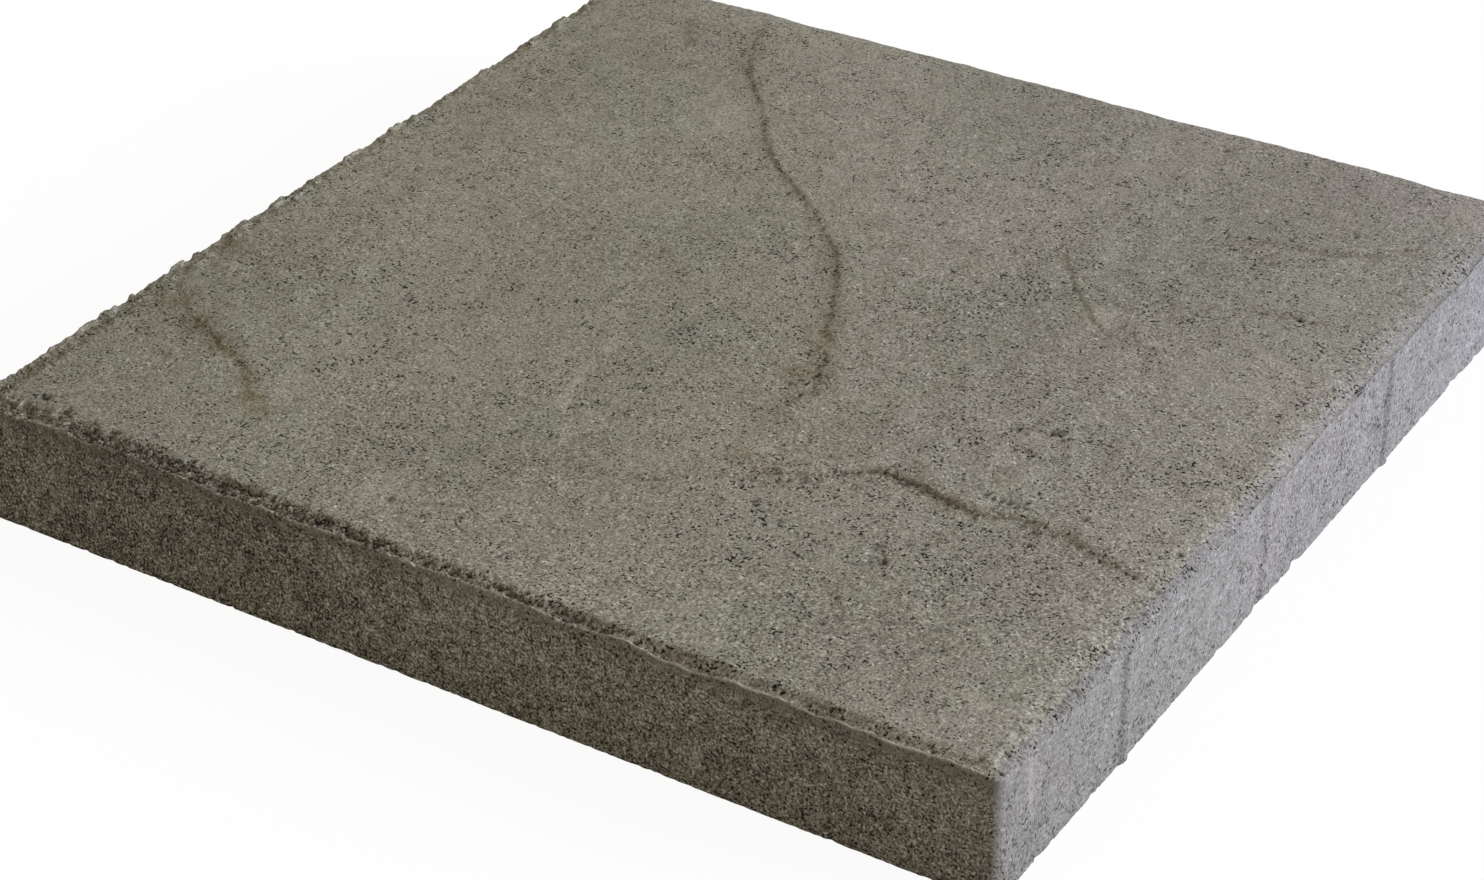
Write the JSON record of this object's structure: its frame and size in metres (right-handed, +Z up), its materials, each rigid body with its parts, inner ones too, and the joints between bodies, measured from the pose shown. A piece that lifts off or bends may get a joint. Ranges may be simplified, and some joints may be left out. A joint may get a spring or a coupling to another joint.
{
  "type": "concrete paving slab",
  "caption": "Square cast concrete paving slab with a riven, ledged top face, worn rim, flat underside and upright spacer ribs on one side.",
  "frame": {"origin": "centre of the flat underside, ribs included", "axes": "+Z up out of the riven face, +X out of the ribbed side, +Y along the ribbed side away from the corner that its first rib is measured from"},
  "size_m": [0.401, 0.4, 0.05],
  "materials": {
    "concrete": "matt, sandy, finely pitted cast concrete"
  },
  "bodies": {
    "root": {"slab": "concrete"}
  },
  "joints": []
}
